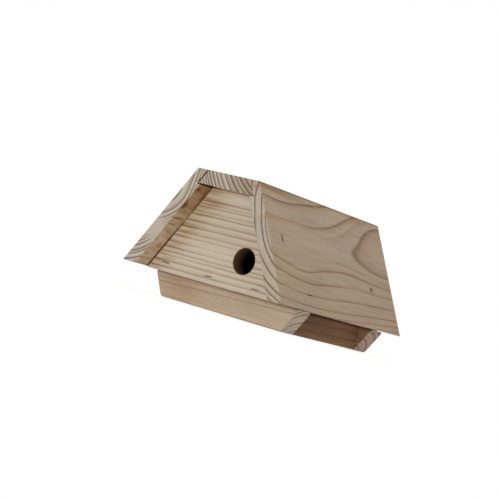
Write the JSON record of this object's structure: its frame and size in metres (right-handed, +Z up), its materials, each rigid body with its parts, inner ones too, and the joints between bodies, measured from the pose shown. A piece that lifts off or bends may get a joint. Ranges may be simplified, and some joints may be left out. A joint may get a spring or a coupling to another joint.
{
  "type": "birdhouse",
  "caption": "Low wooden birdhouse with a slanted roof shell, an off-centre round entrance hole, a top board that slides out for cleaning, and a batten plinth.",
  "frame": {"origin": "bottom centre of the whole birdhouse, on the surface that the plinth stands on", "axes": "+Z up; the front panel with the entrance hole faces -Y; +X is to the right as the front is faced"},
  "size_m": [0.25, 0.262, 0.1615],
  "materials": {
    "roof_left_wood": "planed, untreated softwood",
    "roof_right_wood": "planed, untreated softwood",
    "roof_top_wood": "planed, untreated softwood",
    "front_panel_wood": "planed, untreated softwood",
    "rear_panel_wood": "planed, untreated softwood",
    "floor_wood": "planed, untreated softwood",
    "plinth_front_wood": "planed, untreated softwood",
    "plinth_rear_wood": "planed, untreated softwood",
    "plinth_left_wood": "planed, untreated softwood",
    "plinth_right_wood": "planed, untreated softwood",
    "staple_wire": "dulled wire",
    "nail_steel": "plain steel"
  },
  "bodies": {
    "house": {"roof_left_board": "roof_left_wood", "roof_right_board": "roof_right_wood", "front_panel": "front_panel_wood", "rear_panel": "rear_panel_wood", "floor_board": "floor_wood", "plinth_front_batten": "plinth_front_wood", "plinth_rear_batten": "plinth_rear_wood", "plinth_left_rail": "plinth_left_wood", "plinth_right_rail": "plinth_right_wood", "front_panel_staples": "staple_wire", "rear_panel_staples": "staple_wire", "left_roof_staples": "staple_wire", "right_roof_staples": "staple_wire", "floor_nails": "nail_steel"},
    "lid": {"roof_top_board": "roof_top_wood"}
  },
  "joints": [
    {"name": "lid_slide", "type": "slide", "parent": "house", "child": "lid", "axis": [0, 1, 0], "range_m": [0, 0.15]}
  ]
}
